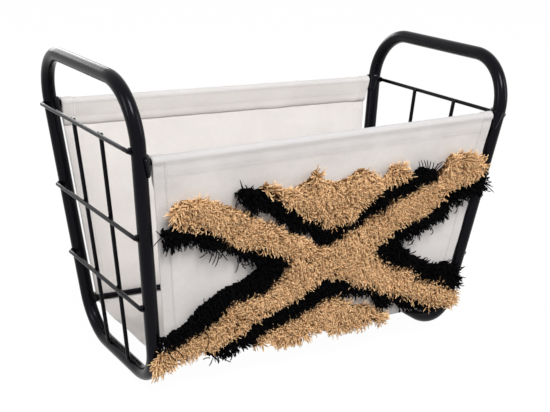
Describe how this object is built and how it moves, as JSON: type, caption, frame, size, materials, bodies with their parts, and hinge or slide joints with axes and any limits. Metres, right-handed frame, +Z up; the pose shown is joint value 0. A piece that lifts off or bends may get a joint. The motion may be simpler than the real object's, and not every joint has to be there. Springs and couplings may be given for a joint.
{
  "type": "magazine basket",
  "caption": "Floor basket for magazines: two bent tube ends with wire grids hold a canvas sling on cross rails; its front has a tufted tan and black diamond pattern.",
  "frame": {"origin": "on the floor under the middle of the bounding box", "axes": "+X along the basket from the left end to the right end, +Z up, and the tufted front faces -Y"},
  "size_m": [0.4194, 0.236, 0.3018],
  "materials": {
    "black_powder_coat": "semi-gloss black powder coat",
    "natural_canvas": "heavy natural cotton canvas",
    "tan_yarn": "shaggy cut yarn pile, tan",
    "black_yarn": "shaggy cut yarn pile, black"
  },
  "bodies": {
    "root": {"left_end_loop": "black_powder_coat", "left_low_wire": "black_powder_coat", "left_middle_wire": "black_powder_coat", "left_top_wire": "black_powder_coat", "left_front_upright_wire": "black_powder_coat", "left_rear_upright_wire": "black_powder_coat", "left_top_front_saddle": "black_powder_coat", "left_top_rear_saddle": "black_powder_coat", "left_bottom_front_saddle": "black_powder_coat", "left_bottom_rear_saddle": "black_powder_coat", "right_end_loop": "black_powder_coat", "right_low_wire": "black_powder_coat", "right_middle_wire": "black_powder_coat", "right_top_wire": "black_powder_coat", "right_front_upright_wire": "black_powder_coat", "right_rear_upright_wire": "black_powder_coat", "right_top_front_saddle": "black_powder_coat", "right_top_rear_saddle": "black_powder_coat", "right_bottom_front_saddle": "black_powder_coat", "right_bottom_rear_saddle": "black_powder_coat", "top_front_rail": "black_powder_coat", "top_rear_rail": "black_powder_coat", "bottom_front_rail": "black_powder_coat", "bottom_rear_rail": "black_powder_coat", "canvas_sling": "natural_canvas", "tan_cross_pile": "tan_yarn", "tan_top_wedge_pile": "tan_yarn", "tan_bottom_wedge_pile": "tan_yarn", "black_left_band_pile": "black_yarn", "black_right_band_pile": "black_yarn", "black_top_band_pile": "black_yarn", "black_bottom_band_pile": "black_yarn"}
  },
  "joints": []
}
